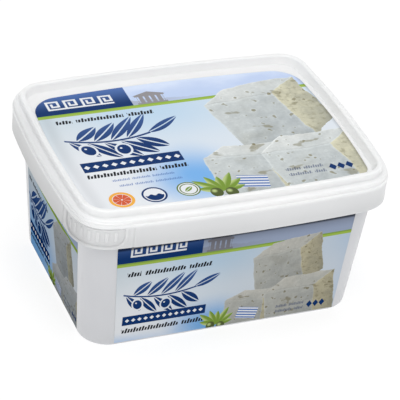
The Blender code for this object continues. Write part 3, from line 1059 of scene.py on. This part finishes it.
class TUB_OT_lid(bpy.types.Operator):
    """Model the lid: skirt with its pull tab, bead, groove, ledge, raised rim and panel"""
    bl_idname = "cheese_tub.lid"
    bl_label = "Lid"

    def execute(self, context):
        s = settings()
        plan = RingPlan(corner_steps=20, side_steps=20, tab_steps=130, crowded=26, span=0.07)
        relief = TabRelief(plan)
        underside = TUB_HIGH.z + 0.3 * MM
        bottom = LID_LOW.z
        lip = 0.35 * MM
        rings = [skirt_ring(plan, s.skirt_wall + inset * MM, height)
                 for inset, height in ((2, underside), (0, underside), (0, bottom + 0.3 * MM),
                                       (-0.15, bottom))]
        rings += [relief.skirt(inset, bottom + drop) for inset, drop in quarter_round(lip, 4)[::-1]]
        steps = 58
        rings += [relief.skirt(0, between(bottom + lip, s.skirt_top, step / steps))
                  for step in range(1, steps + 1)]
        turns = 8
        for step in range(1, turns + 1):
            angle = math.pi * step / turns
            height = between(s.skirt_top, s.bead_top, 0.5 * (1 - math.cos(angle)))
            rings.append(skirt_ring(plan, -s.bead * math.sin(angle), height))
        rings += [relief.groove(s.groove * (1 - dip), s.bead_top + s.bead * rise)
                  for rise, dip in quarter_round(1, 3)[1:]]
        rings.append(relief.groove(s.groove, s.groove_top))
        rings += [skirt_ring(plan, s.ledge_inset + inset, s.ledge_top - drop)
                  for inset, drop in quarter_round(s.ledge_round, 6)]
        rings += [rim_ring(plan, -out, s.ledge_top + rise)
                  for rise, out in quarter_round(s.rim_foot, 5)]
        rings += [rim_ring(plan, inset, LID_HIGH.z - drop)
                  for inset, drop in quarter_round(s.rim_round, 6)]
        rings += [rim_ring(plan, s.rim_width - inset, LID_HIGH.z - drop)
                  for inset, drop in quarter_round(s.rim_inner_round, 7)[::-1]]
        inner = s.rim_width + s.rim_draft
        rings += [recess_ring(plan, inner + inset, s.panel_top + rise)
                  for inset, rise in quarter_round(s.recess_foot, 4)]
        rings += [recess_ring(plan, inner + times * s.recess_foot, s.panel_top)
                  for times in (2, 4)]
        piece = raise_rings("lid_shell", rings)
        # Painted shade: the skirt darker below the bead, the left end darker, and a shadow line in
        # the seam over the tab.
        shade_end = s.skirt_top - s.bead_soft
        plastic = make_plastic("lid_plastic", colours().lid_white, 0.34,
                               [(LID_LOW.z, shade_end, 0.09), (shade_end, s.bead_top, 0.17)],
                               end_shade=0.19, seam_shade=0.25)
        finish_piece(piece, ["lid"], plastic)
        return {"FINISHED"}


LONG_WALLS = ("front", "back")
WALL_TURNS = {"front": 0, "back": 180, "left": -90, "right": 90}


def wall_point(side, along, height, offset):
    """A point on a wall: along runs to the viewer's right, offset is how far it stands off."""
    half, out, radius, bow, long_bow = tub_sizes(height)
    if side in LONG_WALLS:
        bow = long_bow
    else:
        half, out = out, half
    out += bow * (1 - (along / half) ** 2) + offset
    turn = Matrix.Rotation(math.radians(WALL_TURNS[side]), 3, "Z")
    return turn @ Vector((along, -out, height))


class TUB_OT_wall_films(bpy.types.Operator):
    """Model the four printed films on the tub's walls"""
    bl_idname = "cheese_tub.wall_films"
    bl_label = "Wall Films"

    def execute(self, context):
        centre = 0.5 * (WALL_LOW.x + WALL_HIGH.x)
        long_wall = (centre, WALL_HIGH.x - centre, 3.4 * MM,
                     make_print("long_wall_print", LONG_WALL_PLAN))
        short_wall = (0, 0.5 * (SIDE_HIGH.y - SIDE_LOW.y), 3.3 * MM,
                      make_print("short_wall_print", SHORT_WALL_PLAN))
        for side in WALL_TURNS:
            self.film(side, *(long_wall if side in LONG_WALLS else short_wall))
        return {"FINISHED"}

    def film(self, side, centre, half, slope, material):
        """A film with its middle and half width at the top, and how much less that is below."""
        s = settings()
        object_mode()
        bpy.ops.mesh.primitive_grid_add(x_subdivisions=48, y_subdivisions=24, size=2)
        piece = bpy.context.object
        piece.name = side + "_film"
        piece.data.name = piece.name
        places = {}
        for vert in piece.data.vertices:
            part = 0.5 + 0.5 * vert.co.y
            height = between(WALL_LOW.z, WALL_HIGH.z, part)
            along = centre + vert.co.x * between(half - slope, half, part)
            places[vert.index] = (along / MM / UV_WIDTH + 0.5, height / MM / UV_HEIGHT)
            vert.co = wall_point(side, along, height, s.film_lift - s.film)
        layer = piece.data.uv_layers.active
        for loop in piece.data.loops:
            layer.data[loop.index].uv = places[loop.vertex_index]
        wall = piece.modifiers.new("Film", "SOLIDIFY")
        wall.thickness = s.film
        wall.offset = 1
        bpy.ops.object.modifier_apply(modifier=wall.name)
        finish_piece(piece, [side + "_label"], material, angle=40)


class TUB_OT_lid_film(bpy.types.Operator):
    """Model the printed film on the lid's panel"""
    bl_idname = "cheese_tub.lid_film"
    bl_label = "Lid Film"

    def execute(self, context):
        s = settings()
        half = 0.5 * (FILM_HIGH - FILM_LOW)
        centre = 0.5 * (FILM_HIGH + FILM_LOW)
        top = s.panel_top + s.film_lift
        plan = RingPlan(corner_steps=20, side_steps=20)
        ring = plan.ring(half.x - s.film_bow_x, half.y - s.film_bow_y, s.film_back, ROUND_POWER,
                         s.film_bow_x, s.film_bow_y, top, front=s.film_front)
        upper = [point + Vector((centre.x, centre.y, 0)) for point in ring]
        lower = [point - Vector((0, 0, s.film)) for point in upper]
        piece = raise_rings("lid_film", [lower, upper])
        finish_piece(piece, ["lid_label"], make_print("lid_print", LID_PLAN),
                     angle=40)
        return {"FINISHED"}


# Stage

CAMERA_PLACE = (-0.33048, -0.73300, 0.58277)
CAMERA_HEADING = math.radians(-24.535)
CAMERA_DIP = math.radians(34.114)
CAMERA_ROLL = math.radians(6.136)
CAMERA_LENS = 189.85
LIGHT_TARGET = Vector((0, 0, 0.04))


def area_light(name, place, width, power):
    light = bpy.data.lights.new(name, "AREA")
    light.shape = "RECTANGLE"
    light.size = width
    light.size_y = 0.6
    light.energy = power
    lamp = bpy.data.objects.new(name, light)
    bpy.context.scene.collection.objects.link(lamp)
    lamp.location = place
    lamp.rotation_euler = (LIGHT_TARGET - Vector(place)).to_track_quat("-Z", "Y").to_euler()


class TUB_OT_stage(bpy.types.Operator):
    """Set up the pale floor, the soft lights and the camera"""
    bl_idname = "cheese_tub.stage"
    bl_label = "Studio"

    def execute(self, context):
        object_mode()
        bpy.ops.mesh.primitive_plane_add(size=8)
        floor = context.object
        floor.name = "studio_floor"
        p = Painter("studio_floor")
        p.wear(Base_Color=colours().floor, Roughness=0.9, Emission_Strength=0.8)
        floor.data.materials.append(p.material)
        world = bpy.data.worlds.new("studio")
        world.use_nodes = True
        background = world.node_tree.nodes["Background"]
        background.inputs["Color"].default_value = (1, 1, 1, 1)
        background.inputs["Strength"].default_value = 0.6
        context.scene.world = world
        area_light("overhead", (0.05, 0.05, 1.6), 0.7, 5.4)
        area_light("front", (-0.08, -1, 1.15), 0.8, 4.3)
        area_light("left", (-1.3, -0.1, 0.75), 0.7, 1.6)
        camera = bpy.data.cameras.new("camera")
        camera.lens = CAMERA_LENS
        camera.clip_start = 0.01
        rig = bpy.data.objects.new("camera", camera)
        context.scene.collection.objects.link(rig)
        turn = Matrix.Rotation(CAMERA_HEADING, 4, "Z")
        turn = turn @ Matrix.Rotation(0.5 * math.pi - CAMERA_DIP, 4, "X")
        turn = turn @ Matrix.Rotation(CAMERA_ROLL, 4, "Z")
        rig.matrix_world = Matrix.Translation(CAMERA_PLACE) @ turn
        context.scene.camera = rig
        context.scene.view_settings.view_transform = "Standard"
        return {"FINISHED"}


OPERATORS = (TUB_OT_tub, TUB_OT_lid, TUB_OT_lid_film, TUB_OT_wall_films, TUB_OT_stage)


class TUB_PT_panel(bpy.types.Panel):
    """Buttons and settings for the cheese tub"""
    bl_label = "Cheese Tub"
    bl_space_type = "VIEW_3D"
    bl_region_type = "UI"
    bl_category = "Cheese Tub"

    def draw(self, context):
        column = self.layout.column()
        for operator in OPERATORS:
            column.operator(operator.bl_idname)
        for group in (settings(), tab_settings(), colours()):
            box = self.layout.box()
            for name in group.__annotations__:
                box.prop(group, name)


CLASSES = (TubShape, TabShape, PackColours, *OPERATORS, TUB_PT_panel)


def register():
    for one in CLASSES:
        bpy.utils.register_class(one)
    bpy.types.Scene.cheese_tub_shape = PointerProperty(type=TubShape)
    bpy.types.Scene.cheese_tub_tab = PointerProperty(type=TabShape)
    bpy.types.Scene.cheese_tub_colours = PointerProperty(type=PackColours)


def unregister():
    del bpy.types.Scene.cheese_tub_colours
    del bpy.types.Scene.cheese_tub_tab
    del bpy.types.Scene.cheese_tub_shape
    for one in reversed(CLASSES):
        bpy.utils.unregister_class(one)


def main():
    register()
    bpy.ops.cheese_tub.tub()
    bpy.ops.cheese_tub.lid()
    bpy.ops.cheese_tub.lid_film()
    bpy.ops.cheese_tub.wall_films()
    bpy.ops.cheese_tub.stage()


if __name__ == "__main__":
    main()
